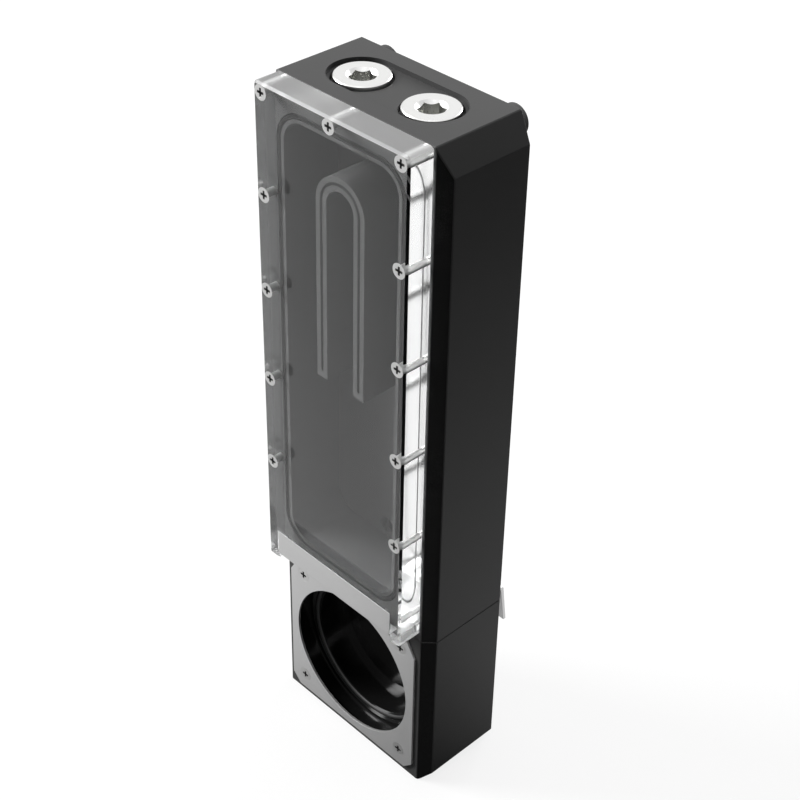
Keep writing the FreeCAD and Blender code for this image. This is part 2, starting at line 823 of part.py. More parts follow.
def make_baffle_seal(doc, s, p):
    """The thin cord in the edge of the baffle: two straight legs and a half circle."""
    body = new_body(doc, "baffle_seal")
    cord = front_sketch(body, "cord", p.front + s.baffle_cord)
    half = s.baffle_cord / 2
    foot = p.baffle_groove_foot + s.groove_gap
    arch(cord, p.baffle_middle + half, p.baffle_middle - half, foot, p.baffle_spring)
    pad(body, cord, s.baffle_cord)


def sweep(body, section, path):
    feature = body.newObject("PartDesign::AdditivePipe", f"{body.Name}_pipe")
    feature.Profile = section
    feature.Spine = (path, [f"Edge{n + 1}" for n in range(path.GeometryCount)])
    return feature


# Retaining plate

def make_retaining_plate(doc, s, p):
    """A steel plate over the pump bay, folded forwards and up over the window's lower edge."""
    body = new_body(doc, "pump_retaining_plate")
    face = front_sketch(body, "face", p.front)
    half = p.plate_half
    neck = p.strip_half
    foot_corner = s.plate_foot + s.plate_corner
    shoulder_top = p.plate_shoulder + s.plate_shoulder_rise
    fold_top = p.strip_bottom + s.plate_thickness
    corners = [
        (-half + s.plate_corner, s.plate_foot), (half - s.plate_corner, s.plate_foot), (half, foot_corner),
        (half, p.plate_shoulder), (neck, shoulder_top), (neck, fold_top),
        (-neck, fold_top), (-neck, shoulder_top), (-half, p.plate_shoulder), (-half, foot_corner),
    ]
    outline(face, corners)
    pad(body, face, s.plate_thickness)
    fold = new_sketch(body, "fold", "YZ_Plane", (0, 0, -neck))
    corners = [
        (p.window_front, p.strip_bottom), (p.front, p.strip_bottom), (p.front, fold_top),
        (p.strip_back, fold_top), (p.strip_back, p.strip_top), (p.window_front, p.strip_top),
    ]
    outline(fold, corners)
    folded = pad(body, fold, p.strip_half * 2)
    doc.recompute()
    bends = bend_edges(folded, s, p)
    dress(body, "Fillet", folded, bends, s.plate_bend)
    opening = front_sketch(body, "opening", p.front - s.plate_thickness)
    circle(opening, 0, p.bay_height, p.plate_opening)
    pocket(body, opening, s.plate_thickness)
    cut_plate_screws(body, s, p)


def bend_edges(folded, s, p):
    """The two outside corners of the folds, which run across the whole strip."""
    outside = [
        (value_of(p.window_front), value_of(p.strip_bottom)),
        (value_of(p.front), value_of(p.strip_bottom + s.plate_thickness)),
    ]

    def is_bend(box):
        return runs_across(box) and any(near(box.YMin, y) and near(box.ZMin, z) for y, z in outside)

    return edges_where(folded, is_bend)


# Screw plugs

def make_plug(doc, s, p, name, side):
    body = new_body(doc, name)
    axis = s.port_spacing / 2 * side
    half = new_sketch(body, "half", "XZ_Plane", (axis, p.seat_floor, 0))
    head = s.plug_head / 2
    thread = s.port_bore / 2 - s.plug_thread_gap
    ring_inner = s.plug_neck / 2
    groove_outer = (s.plug_ring + s.plug_ring_cord) / 2 + s.plug_ring_gap
    groove_height = s.plug_ring_cord + s.plug_ring_gap * 2
    corners = [
        (0, -s.plug_thread_length), (thread - s.plug_thread_bevel, -s.plug_thread_length),
        (thread, -s.plug_thread_length + s.plug_thread_bevel), (thread, -s.plug_ring_gap),
        (ring_inner, -s.plug_ring_gap), (ring_inner, groove_height), (groove_outer, groove_height),
        (groove_outer, 0), (head, 0), (head, s.plug_head_height - s.plug_head_bevel),
        (head - s.plug_head_bevel, s.plug_head_height), (0, s.plug_head_height),
    ]
    outline(half, corners)
    turned(body, half, "V_Axis")
    top = p.seat_floor + s.plug_head_height
    rim = new_sketch(body, "rim", "XZ_Plane", (axis, top, 0))
    rim_radius = s.plug_socket / 2 * ONE_OVER_COS_30 + s.plug_rim
    outline(rim, [(0, 0), (0, -rim_radius), (rim_radius, 0)])
    turned(body, rim, "V_Axis", "Groove")
    socket = new_sketch(body, "socket", "XY_Plane", (axis, 0, top))
    bind(socket, "AttachmentOffset.Rotation.Angle", SOCKET_TURN)
    hexagon(socket, s.plug_socket)
    pocket(body, socket, s.plug_socket_depth)


def make_ring(doc, name, x, y, z, ring, cord, upright=False):
    """A round seal ring; an upright one faces forwards."""
    torus = doc.addObject("Part::Torus", name)
    torus.Label = name
    bind(torus, "Radius1", ring / 2)
    bind(torus, "Radius2", cord / 2)
    for axis, quantity in zip("xyz", (x, y, z)):
        if isinstance(quantity, Size):
            bind(torus, f"Placement.Base.{axis}", quantity)
    if upright:
        bind(torus, "Placement.Rotation.Angle", QUARTER_TURN)
        bind(torus, "Placement.Rotation.Axis.x", 1)
        bind(torus, "Placement.Rotation.Axis.z", 0)


# Bolts, dowels, hook and bumpers

def make_block_bolts(doc, s, p):
    body = new_body(doc, "block_bolts")
    x = -p.bolt_spacing / 2
    half = new_sketch(body, "half", "XZ_Plane", (x, s.bolt_sink, -p.bolt_rear))
    shank = s.bolt_shank / 2
    head = s.bolt_head / 2
    corners = [
        (0, -s.bolt_head_height), (head, -s.bolt_head_height), (head, 0), (shank, 0),
        (shank, s.bolt_length), (0, s.bolt_length),
    ]
    outline(half, corners)
    bolt = turned(body, half, "V_Axis")
    socket = new_sketch(body, "socket", "XY_Plane", (x, p.bolt_rear, s.bolt_sink - s.bolt_head_height))
    hexagon(socket, s.bolt_socket)
    recess = pocket(body, socket, s.bolt_socket_depth, backwards=True)
    pattern(body, [bolt, recess], half, ("H_Axis", p.bolt_spacing, 2), ("N_Axis", p.bolt_depth_span, 2))


def make_dowels(doc, s, p):
    body = new_body(doc, "locating_dowels")
    ends = level_sketch(body, "ends", p.joint_height - s.dowel_length / 2)
    for side in (-1, 1):
        circle(ends, p.bolt_spacing / 2 * side, p.dowel_depth, s.dowel_diameter)
    pad(body, ends, s.dowel_length)


def small_hole(s):
    return s.small_shank + s.screw_gap * 2


def make_hook(doc, s, p):
    """A folded steel strip on the back: it opens downwards, so that the block can hang on a rail."""
    body = new_body(doc, "hanging_hook")
    profile = new_sketch(body, "profile", "YZ_Plane", (0, 0, -p.hook_half))
    inner = p.back + s.hook_thickness
    lip_inner = inner + s.hook_reach
    lip_outer = lip_inner + s.hook_thickness
    lip_end = p.hook_top - s.hook_lip
    corners = [
        (p.back, p.hook_foot), (inner, p.hook_foot), (inner, p.hook_top - s.hook_thickness),
        (lip_inner, p.hook_top - s.hook_thickness), (lip_inner + s.hook_flare, lip_end),
        (lip_outer + s.hook_flare, lip_end), (lip_outer, p.hook_top), (p.back, p.hook_top),
    ]
    outline(profile, corners)
    strip = pad(body, profile, p.hook_half * 2)
    doc.recompute()
    top = value_of(p.hook_top)
    folds = edges_where(strip, lambda box: runs_across(box) and near(box.ZMin, top))
    dress(body, "Fillet", strip, folds, s.hook_bend)
    holes = front_sketch(body, "holes", p.back)
    for side in (-1, 1):
        circle(holes, p.hook_screw_spacing / 2 * side, p.hook_screw_height, small_hole(s))
    pocket(body, holes, s.hook_thickness)


def make_small_screws(doc, name, s, spacing, height, seat):
    """A pair of small screws with round heads that point forwards from the back."""
    body = new_body(doc, name)
    half = new_sketch(body, "half", "XY_Plane", (-spacing / 2, seat, height))
    shank = s.small_shank / 2
    head = s.small_head / 2
    shoulder = s.small_head_height / 2
    grip = seat - s.block_depth / 2 + s.small_screw_grip
    corners = [
        (0, -grip), (shank, -grip), (shank, 0), (head, 0), (head, shoulder),
        (head - shoulder, s.small_head_height), (0, s.small_head_height),
    ]
    outline(half, corners)
    screw = turned(body, half, "V_Axis")
    socket = new_sketch(body, "socket", "XZ_Plane", (-spacing / 2, height, -(seat + s.small_head_height)))
    hexagon(socket, s.small_socket)
    recess = pocket(body, socket, s.small_socket_depth, backwards=True)
    pattern(body, [screw, recess], half, ("H_Axis", spacing, 2))


def make_bumper(doc, s, p, name, side):
    body = new_body(doc, name)
    half = new_sketch(body, "half", "XY_Plane", (p.bumper_spacing / 2 * side, p.back, p.bumper_height))
    radius = s.bumper_diameter / 2
    hole = small_hole(s) / 2
    well = s.small_head / 2 + s.screw_gap
    corners = [
        (hole, 0), (radius, 0), (radius, s.bumper_height - s.bumper_edge),
        (radius - s.bumper_edge, s.bumper_height), (well, s.bumper_height), (well, s.bumper_floor),
        (hole, s.bumper_floor),
    ]
    outline(half, corners)
    turned(body, half, "V_Axis")


def build(doc):
    s = make_sheet(doc)
    p = places(s)
    make_reservoir_body(doc, s, p)
    make_pump_housing(doc, s, p)
    make_front_window(doc, s, p)
    make_window_seal(doc, s, p)
    make_baffle_seal(doc, s, p)
    make_window_screws(doc, s, p)
    make_retaining_plate(doc, s, p)
    make_plate_screws(doc, s, p)
    for name, side in (("left", -1), ("right", 1)):
        make_plug(doc, s, p, f"fill_plug_{name}", side)
        ring_height = p.seat_floor + s.plug_ring_cord / 2 + s.plug_ring_gap
        make_ring(doc, f"plug_seal_{name}", s.port_spacing / 2 * side, 0, ring_height,
                  s.plug_ring, s.plug_ring_cord)
        make_bumper(doc, s, p, f"rear_bumper_{name}", side)
    suction_height = p.joint_height - (s.suction_cord + s.groove_gap) / 2
    make_ring(doc, "suction_seal", 0, p.channel_axis, suction_height, s.suction_ring, s.suction_cord)
    seat_depth = p.seat_groove_floor - s.seat_cord / 2
    make_ring(doc, "pump_seat_seal", 0, seat_depth, p.bay_height, p.seat_ring, s.seat_cord, upright=True)
    make_block_bolts(doc, s, p)
    make_dowels(doc, s, p)
    make_hook(doc, s, p)
    make_small_screws(doc, "hook_screws", s, p.hook_screw_spacing, p.hook_screw_height,
                      p.back + s.hook_thickness)
    make_small_screws(doc, "bumper_screws", s, p.bumper_spacing, p.bumper_height,
                      p.back + s.bumper_floor)


def check(doc):
    """Stops if anything failed to compute, or if a cut removed nothing."""
    for item in doc.Objects:
        if "Invalid" in item.State or "Error" in item.State:
            raise RuntimeError(f"{item.Name} did not compute: {item.State}")
        if item.TypeId in ("PartDesign::Pocket", "PartDesign::Groove"):
            if item.Shape.Volume >= item.BaseFeature.Shape.Volume:
                raise RuntimeError(f"{item.Name} cuts nothing")


def export(doc):
    os.makedirs("parts", exist_ok=True)
    for item in doc.Objects:
        if item.TypeId not in ("PartDesign::Body", "Part::Torus"):
            continue
        shape = item.Shape
        if shape.isNull() or not shape.isValid() or shape.Volume <= 0:
            raise RuntimeError(f"{item.Label} has no valid shape")
        shape.exportStep(f"parts/{item.Label}.step")
        print(f"{item.Label:24s} {len(shape.Solids):2d} solids {shape.Volume:12.1f} mm3")


document = FreeCAD.newDocument("reservoir")
build(document)
document.recompute()
check(document)
export(document)
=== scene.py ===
import json
import math

import bpy
from mathutils import Matrix, Vector


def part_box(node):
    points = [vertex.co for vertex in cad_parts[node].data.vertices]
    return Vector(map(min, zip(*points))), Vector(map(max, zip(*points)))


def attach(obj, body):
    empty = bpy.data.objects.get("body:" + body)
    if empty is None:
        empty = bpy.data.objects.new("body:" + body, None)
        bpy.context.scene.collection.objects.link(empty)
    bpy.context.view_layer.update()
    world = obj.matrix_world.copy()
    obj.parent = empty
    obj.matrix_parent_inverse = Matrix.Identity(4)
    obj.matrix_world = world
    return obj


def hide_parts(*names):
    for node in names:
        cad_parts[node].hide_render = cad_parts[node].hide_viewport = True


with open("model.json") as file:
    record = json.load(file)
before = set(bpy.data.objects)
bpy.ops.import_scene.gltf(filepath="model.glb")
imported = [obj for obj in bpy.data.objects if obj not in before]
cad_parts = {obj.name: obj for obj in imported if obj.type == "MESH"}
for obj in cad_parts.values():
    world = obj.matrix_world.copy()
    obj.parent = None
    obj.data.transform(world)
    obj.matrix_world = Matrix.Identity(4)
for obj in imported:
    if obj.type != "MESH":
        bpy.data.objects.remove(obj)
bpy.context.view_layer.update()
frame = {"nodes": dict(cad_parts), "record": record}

MM = 0.001

# Camera of the photograph: place in metres, angles in degrees
CAMERA_PLACE = Vector((0.336, -0.3275, 0.4975))
CAMERA_AZIMUTH = 46.05
CAMERA_ELEVATION = 34.15
CAMERA_ROLL = 0.74
CAMERA_LENS = 75.24
CAMERA_SENSOR = 36.0
CAMERA_SHIFT = (0.0189, -0.0854)

# Widths of the rounded edges, the least angle of an edge, and what counts as one point or one flat face
BLOCK_EDGE = 0.12 * MM
WINDOW_EDGE = 0.06 * MM
PLATE_EDGE = 0.12 * MM
METAL_EDGE = 0.08 * MM
SHARP_ANGLE = math.radians(30)
MERGE_GAP = 0.001 * MM
FLAT_ANGLE = math.radians(0.5)

# Air between the pane and the block, and how far a squeezed seal or a screw reaches into the pane
WINDOW_AIR = 0.03 * MM
CONTACT = 0.02 * MM
SCREW_CONTACT = 0.1 * MM
SEAL_SQUEEZE = 0.25 * MM

# Places by which faces get their finish or their painted shade: blocks and bay, pane, screws, plugs
FACET_START = 35.5 * MM
BAY_HEIGHT = 36.6 * MM
BAY_REACH = 31.8 * MM
BAY_DEPTH = 12.0 * MM
WINDOW_SIDE_FACES = 34.4 * MM
WINDOW_TOP_BEVEL = 268.3 * MM
WINDOW_TOP_FACES = 269.3 * MM
WINDOW_FOOT_FACES = 79.0 * MM
SCREW_COLUMN = 31.5 * MM
SCREW_HEIGHTS = [(120.4 + 36.55 * row) * MM for row in range(5)]
TOP_SCREW = (0.0, 266.6 * MM)
LOWER_SCREWS = [(-24.0 * MM, 82.0 * MM), (24.0 * MM, 82.0 * MM)]
HOLE_REACH = 3.0 * MM
RECESS_DEPTH = 1.1 * MM
PORT_SPACING = 31.0 * MM
SOCKET_REACH = 5.3 * MM
SOCKET_START = 0.7 * MM
RIM_END = 1.5 * MM

# Parts of a face's normal by which the same faces are told apart
SQUARE_TO = 0.8
LEVEL_TO = 0.1
FACET_SLOPE = (-0.85, -0.5)
BEVEL_SLOPE = 0.4
CONE_SLOPE = math.sqrt(0.5)
CONE_SPREAD = 0.2
RIM_SLOPE = (0.3, 0.9)
UNDERSIDE = -0.5

# Shares of the slow patches and the fine grain in a surface
PATCH_SHARE = 0.6
GRAIN_SHARE = 0.4

# Light: what the world gives surfaces, where the lamps point, and how the floor shows to the eye and in gloss
WORLD_LIGHT = 0.09
LAMP_TARGET = (0, 0, 0.14)
FLOOR_SIZE = 8.0
FLOOR_COLOUR = 0.13
FLOOR_GLOW_SEEN = 0.84
FLOOR_GLOW_MIRRORED = 0.02
LEFT_EDGE = (0.045, -0.09)
LEFT_GLOW = 0.5
POOL_PLACE = (0.05, 0.06, 0.0)
POOL_REACH = 0.45
POOL_EDGE = (-0.01, 0.05)
POOL_GLOW = 0.9


# Nodes and materials

def link(tree, source, target):
    tree.links.new(source, target)


def value_node(tree, kind, **settings):
    node = tree.nodes.new(kind)
    for name, setting in settings.items():
        setattr(node, name, setting)
    return node


def new_group(name, inputs, outputs):
    """A shader group; inputs map a name to its kind and default, outputs a name to its kind."""
    group = bpy.data.node_groups.new(name, "ShaderNodeTree")
    for label, (kind, default) in inputs.items():
        socket = group.interface.new_socket(label, in_out="INPUT", socket_type=f"NodeSocket{kind}")
        if default is not None:
            socket.default_value = default
    for label, kind in outputs.items():
        group.interface.new_socket(label, in_out="OUTPUT", socket_type=f"NodeSocket{kind}")
    return group, group.nodes.new("NodeGroupInput"), group.nodes.new("NodeGroupOutput")


def calculate(tree, operation, first, second):
    """A maths node; each of its two values is a number or a socket."""
    node = value_node(tree, "ShaderNodeMath", operation=operation)
    for place, value in enumerate((first, second)):
        if isinstance(value, (int, float)):
            node.inputs[place].default_value = value
        else:
            link(tree, value, node.inputs[place])
    return node.outputs[0]


def noise(tree, vector, scale, detail):
    node = value_node(tree, "ShaderNodeTexNoise", noise_dimensions="3D")
    node.inputs["Detail"].default_value = detail
    link(tree, vector, node.inputs["Vector"])
    link(tree, scale, node.inputs["Scale"])
    return node.outputs["Fac"]


def remap(tree, source, low, high):
    """Spreads a 0 to 1 mask between two sockets."""
    node = value_node(tree, "ShaderNodeMapRange")
    link(tree, source, node.inputs["Value"])
    link(tree, low, node.inputs["To Min"])
    link(tree, high, node.inputs["To Max"])
    return node.outputs["Result"]


def mix_colours(tree, mask, first, second):
    node = value_node(tree, "ShaderNodeMix", data_type="RGBA")
    link(tree, mask, node.inputs["Factor"])
    link(tree, first, node.inputs["A"])
    link(tree, second, node.inputs["B"])
    return node.outputs["Result"]


def make_grain_group():
    """Fine grain with slow patches: a colour, a roughness and a height that vary over the surface."""
    group, entry, leave = new_group(
        "surface_grain",
        {
            "Vector": ("Vector", None),
            "Grain Scale": ("Float", 2500.0),
            "Patch Scale": ("Float", 40.0),
            "Dark": ("Color", (0.02, 0.02, 0.02, 1)),
            "Light": ("Color", (0.03, 0.03, 0.03, 1)),
            "Smooth": ("Float", 0.3),
            "Rough": ("Float", 0.4),
        },
        {"Color": "Color", "Roughness": "Float", "Height": "Float"},
    )
    vector = entry.outputs["Vector"]
    grain = noise(group, vector, entry.outputs["Grain Scale"], detail=2.0)
    patches = noise(group, vector, entry.outputs["Patch Scale"], detail=5.0)
    mask = calculate(group, "ADD", calculate(group, "MULTIPLY", patches, PATCH_SHARE),
                     calculate(group, "MULTIPLY", grain, GRAIN_SHARE))
    colour = mix_colours(group, mask, entry.outputs["Dark"], entry.outputs["Light"])
    link(group, colour, leave.inputs["Color"])
    roughness = remap(group, mask, entry.outputs["Smooth"], entry.outputs["Rough"])
    link(group, roughness, leave.inputs["Roughness"])
    link(group, grain, leave.inputs["Height"])
    return group


def make_tool_group():
    """Marks that a cutter leaves in rows along one axis, broken up by noise."""
    group, entry, leave = new_group(
        "tool_marks",
        {"Vector": ("Vector", None), "Rows": ("Float", 600.0), "Wander": ("Float", 1.5)},
        {"Height": "Float"},
    )
    wave = value_node(group, "ShaderNodeTexWave", wave_type="BANDS", bands_direction="Z")
    wave.inputs["Detail"].default_value = 2.0
    wave.inputs["Detail Scale"].default_value = 1.5
    link(group, entry.outputs["Vector"], wave.inputs["Vector"])
    link(group, entry.outputs["Rows"], wave.inputs["Scale"])
    link(group, entry.outputs["Wander"], wave.inputs["Distortion"])
    link(group, wave.outputs["Fac"], leave.inputs["Height"])
    return group


def make_turned_group():
    """Fine rings about the Z axis of the vector, as a lathe leaves them."""
    group, entry, leave = new_group(
        "turned_rings",
        {"Vector": ("Vector", None), "Rings": ("Float", 900.0)},
        {"Height": "Float"},
    )
    wave = value_node(group, "ShaderNodeTexWave", wave_type="RINGS", rings_direction="Z")
    wave.inputs["Distortion"].default_value = 0.3
    link(group, entry.outputs["Vector"], wave.inputs["Vector"])
    link(group, entry.outputs["Rings"], wave.inputs["Scale"])
    link(group, wave.outputs["Fac"], leave.inputs["Height"])
    return group


GRAIN = make_grain_group()
TOOL_MARKS = make_tool_group()
TURNED = make_turned_group()


def place_group(tree, group, vector, **values):
    node = tree.nodes.new("ShaderNodeGroup")
    node.node_tree = group
    link(tree, vector, node.inputs["Vector"])
    for name, value in values.items():
        node.inputs[name.replace("_", " ")].default_value = value
    return node


def new_material(name):
    material = bpy.data.materials.new(name)
    material.use_nodes = True
    tree = material.node_tree
    shader = tree.nodes["Principled BSDF"]
    coordinates = tree.nodes.new("ShaderNodeTexCoord")
    return material, tree, shader, coordinates.outputs["Object"]


def add_bump(tree, shader, height, strength, distance, under=None):
    bump = tree.nodes.new("ShaderNodeBump")
    bump.inputs["Strength"].default_value = strength
    bump.inputs["Distance"].default_value = distance
    link(tree, height, bump.inputs["Height"])
    if under is not None:
        link(tree, under, bump.inputs["Normal"])
    link(tree, bump.outputs["Normal"], shader.inputs["Normal"])
    return bump.outputs["Normal"]


def grained(name, dark, light, smooth, rough, grain_scale, metallic=0.0, strength=0.1, depth=0.02 * MM):
    """A surface of one stuff whose colour, roughness and height come from the grain group."""
    material, tree, shader, vector = new_material(name)
    grain = place_group(tree, GRAIN, vector, Grain_Scale=grain_scale, Dark=(*dark, 1),
                        Light=(*light, 1), Smooth=smooth, Rough=rough)
    link(tree, grain.outputs["Color"], shader.inputs["Base Color"])
    link(tree, grain.outputs["Roughness"], shader.inputs["Roughness"])
    shader.inputs["Metallic"].default_value = metallic
    normal = add_bump(tree, shader, grain.outputs["Height"], strength, depth)
    return material, tree, shader, vector, normal


def make_acetal(name, dark, light, smooth, rough):
    """Black acetal as it comes off the mill: satin, with faint cutter rows along the height."""
    material, tree, shader, vector, normal = grained(
        name, (dark, dark, dark), (light, light, light), smooth, rough, 5200.0, strength=0.01)
    shader.inputs["Specular IOR Level"].default_value = 0.12
    marks = place_group(tree, TOOL_MARKS, vector, Rows=420.0)
    add_bump(tree, shader, marks.outputs["Height"], 0.03, 0.01 * MM, normal)
    return material


def make_bay_acetal():
    """The bored pump bay: the same stuff, turned to a gloss with fine rings about the bore, and painted far
    darker than the block as the shade inside the bay.
    """
    material, tree, shader, vector, normal = grained(
        "bored_acetal_painted_shade", (0.004, 0.004, 0.004), (0.008, 0.008, 0.008), 0.1, 0.18, 1800.0, strength=0.05)
    shader.inputs["Specular IOR Level"].default_value = 0.5
    turn = value_node(tree, "ShaderNodeMapping", vector_type="POINT")
    turn.inputs["Location"].default_value = (0, BAY_HEIGHT, 0)
    turn.inputs["Rotation"].default_value = (math.radians(90), 0, 0)
    link(tree, vector, turn.inputs["Vector"])
    rings = place_group(tree, TURNED, turn.outputs["Vector"], Rings=500.0)
    add_bump(tree, shader, rings.outputs["Height"], 0.1, 0.01 * MM, normal)
    return material


def make_acrylic(name, roughness, clearness=1.0, colour=(0.985, 0.99, 0.99)):
    """Cast acrylic that lets the lamps through to what lies behind it."""
    material, tree, shader, vector = new_material(name)
    shader.inputs["Base Color"].default_value = (*colour, 1)
    shader.inputs["Roughness"].default_value = roughness
    shader.inputs["IOR"].default_value = 1.49
    shader.inputs["Specular Tint"].default_value = (0.3, 0.3, 0.3, 1)
    shader.inputs["Transmission Weight"].default_value = clearness
    clear = tree.nodes.new("ShaderNodeBsdfTransparent")
    clear.inputs["Color"].default_value = (0.9, 0.91, 0.91, 1)
    mix = tree.nodes.new("ShaderNodeMixShader")
    path = tree.nodes.new("ShaderNodeLightPath")
    link(tree, path.outputs["Is Shadow Ray"], mix.inputs["Fac"])
    link(tree, shader.outputs["BSDF"], mix.inputs[1])
    link(tree, clear.outputs["BSDF"], mix.inputs[2])
    link(tree, mix.outputs["Shader"], tree.nodes["Material Output"].inputs["Surface"])
    return material


def make_nickel(name, axis):
    """Bright nickel plate with the rings of the lathe about the plug's own axis."""
    material, tree, shader, vector, normal = grained(
        name, (0.74, 0.74, 0.73), (0.82, 0.82, 0.81), 0.24, 0.32, 3000.0, metallic=1.0, strength=0.05)
    centre = value_node(tree, "ShaderNodeMapping", vector_type="POINT")
    centre.inputs["Location"].default_value = (-axis, 0, 0)
    link(tree, vector, centre.inputs["Vector"])
    rings = place_group(tree, TURNED, centre.outputs["Vector"], Rings=420.0)
    add_bump(tree, shader, rings.outputs["Height"], 0.08, 0.01 * MM, normal)
    return material


def metal(name, dark, light, smooth, rough, grain_scale, strength=0.1):
    return grained(name, dark, light, smooth, rough, grain_scale, metallic=1.0, strength=strength)[0]


MATERIALS = {
    "block": make_acetal("black_acetal", 0.045, 0.06, 0.34, 0.42),
    # The corner facets: the same acetal painted far darker, as painted shade where they face away from the
    # lamps
    "facet": make_acetal("facet_painted_shade", 0.008, 0.012, 0.24, 0.3),
    "bay": make_bay_acetal(),
    "window": make_acrylic("clear_acrylic", 0.0),
    "window_edge": make_acrylic("sawn_acrylic", 0.16, 1.0, (0.92, 0.925, 0.925)),
    "window_top": make_acrylic("frosted_acrylic", 0.35, 0.78, (0.82, 0.82, 0.82)),
    "seal": grained("seal_rubber", (0.004, 0.004, 0.004), (0.008, 0.008, 0.008), 0.5, 0.62, 1400.0)[0],
    "bumper": grained("bumper_rubber", (0.012, 0.012, 0.012), (0.02, 0.02, 0.02), 0.55, 0.7, 900.0)[0],
    "screw": metal("screw_steel", (0.56, 0.56, 0.56), (0.72, 0.72, 0.71), 0.26, 0.36, 2600.0),
    # Screw recesses: the steel painted dark as the shade that falls inside them
    "recess": metal("screw_recess_painted_shade", (0.08, 0.08, 0.08), (0.2, 0.2, 0.2), 0.3, 0.45, 3000.0),
    "bolt": metal("bolt_steel", (0.42, 0.42, 0.43), (0.56, 0.56, 0.57), 0.3, 0.42, 2200.0),
    "plate": metal("blasted_steel", (0.58, 0.58, 0.58), (0.68, 0.68, 0.68), 0.4, 0.5, 3600.0, 0.16),
    # Hex sockets: steel painted darker than the nickel as the shade inside the socket
    "socket": metal("socket_steel_painted_shade", (0.34, 0.34, 0.33), (0.6, 0.6, 0.58), 0.2, 0.34, 1500.0),
}
PLUG_MATERIALS = {
    "left": make_nickel("nickel_left", -PORT_SPACING / 2),
    "right": make_nickel("nickel_right", PORT_SPACING / 2),
}


# Pieces

def copy_of(node, name):
    """A copy of a solid as one welded mesh with flat faces in one piece, left active for the next steps."""
    piece = bpy.data.objects.new(name, frame["nodes"][node].data.copy())
    bpy.context.scene.collection.objects.link(piece)
    bpy.ops.object.select_all(action="DESELECT")
    piece.select_set(True)
    bpy.context.view_layer.objects.active = piece
    bpy.ops.object.mode_set(mode="EDIT")
    bpy.ops.mesh.select_all(action="SELECT")
    bpy.ops.mesh.customdata_custom_splitnormals_clear()
    bpy.ops.mesh.remove_doubles(threshold=MERGE_GAP)
    bpy.ops.mesh.dissolve_limited(angle_limit=FLAT_ANGLE)
    bpy.ops.object.mode_set(mode="OBJECT")
    return piece


def soften(piece, width, segments=2):
    """Rounds every sharp edge, and keeps the faces between the edges flat in the light."""
    bevel = piece.modifiers.new("edge", "BEVEL")
    bevel.width = width
    bevel.segments = segments
    bevel.limit_method = "ANGLE"
    bevel.angle_limit = SHARP_ANGLE
    bpy.ops.object.modifier_apply(modifier=bevel.name)
    even_out(piece)


def even_out(piece):
    """Smooths the light on round faces and keeps it level on flat ones."""
    bpy.ops.object.shade_smooth_by_angle(angle=SHARP_ANGLE)
    even = piece.modifiers.new("flat_faces", "WEIGHTED_NORMAL")
    even.keep_sharp = True
    bpy.ops.object.modifier_apply(modifier=even.name)


def paint(piece, base, *others):
    """Gives the piece a material, and each pair in others gives its own to the faces it picks."""
    piece.data.materials.clear()
    piece.data.materials.append(base)
    for face in piece.data.polygons:
        face.material_index = 0
    for index, (material, picks) in enumerate(others, 1):
        piece.data.materials.append(material)
        for face in piece.data.polygons:
            if picks(face.center, face.normal):
                face.material_index = index


def stand_for(piece, node, body="housing"):
    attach(piece, body)
    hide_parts(node)


def make_blocks():
    def on_facet(centre, normal):
        turned = FACET_SLOPE[0] < normal.y < FACET_SLOPE[1]
        return abs(centre.x) > FACET_START and abs(normal.z) < LEVEL_TO and turned

    tank = copy_of("reservoir_body", "tank_block")
    soften(tank, BLOCK_EDGE)
    # The corner facets get the darker acetal as painted shade
    paint(tank, MATERIALS["block"], (MATERIALS["facet"], on_facet))
    stand_for(tank, "reservoir_body")

    pump = copy_of("pump_housing", "pump_block")
    soften(pump, BLOCK_EDGE)
    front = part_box("pump_housing")[0].y

    def in_bay(centre, normal):
        reach = math.hypot(centre.x, centre.z - BAY_HEIGHT)
        return reach < BAY_REACH and front + BLOCK_EDGE < centre.y < BAY_DEPTH

    # The bay's faces get acetal painted darker as the shade inside the bore; the corner facets get their
    # painted shade
    paint(pump, MATERIALS["block"], (MATERIALS["bay"], in_bay), (MATERIALS["facet"], on_facet))
    stand_for(pump, "pump_housing")


def window_screw_axes():
    columns = [(side * SCREW_COLUMN, height) for side in (-1, 1) for height in SCREW_HEIGHTS]
    return [*columns, TOP_SCREW, *LOWER_SCREWS]


def make_window():
    """The pane, a hair in front of the block, with the walls of its holes tight on the screws."""
    pane = copy_of("front_window", "window_pane")
    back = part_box("front_window")[1].y
    for vertex in pane.data.vertices:
        if abs(vertex.co.y - back) < MERGE_GAP:
            vertex.co.y -= WINDOW_AIR
        for x, z in window_screw_axes():
            across, upward = vertex.co.x - x, vertex.co.z - z
            reach = math.hypot(across, upward)
            if reach < HOLE_REACH:
                vertex.co.x -= across / reach * SCREW_CONTACT
                vertex.co.z -= upward / reach * SCREW_CONTACT
    soften(pane, WINDOW_EDGE, 3)

    def is_side(centre, normal):
        return abs(centre.x) > WINDOW_SIDE_FACES and abs(normal.x) > SQUARE_TO

    def is_end(centre, normal):
        outside = centre.z > WINDOW_TOP_FACES or centre.z < WINDOW_FOOT_FACES
        return outside and abs(normal.z) > SQUARE_TO

    def is_top_bevel(centre, normal):
        return centre.z > WINDOW_TOP_BEVEL and normal.z > BEVEL_SLOPE

    paint(pane, MATERIALS["window"], (MATERIALS["window_edge"], is_side), (MATERIALS["window_top"], is_end),
          (MATERIALS["window_top"], is_top_bevel))
    stand_for(pane, "front_window")


def make_seals():
    """The two cords that the pane squeezes: their fronts are flat and wet the acrylic."""
    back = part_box("front_window")[1].y
    for node, name in (("window_seal", "tank_cord"), ("baffle_seal", "baffle_cord")):
        cord = copy_of(node, name)
        for vertex in cord.data.vertices:
            if vertex.co.y < back + SEAL_SQUEEZE:
                vertex.co.y = back - WINDOW_AIR - CONTACT
        even_out(cord)
        paint(cord, MATERIALS["seal"])
        stand_for(cord, node)


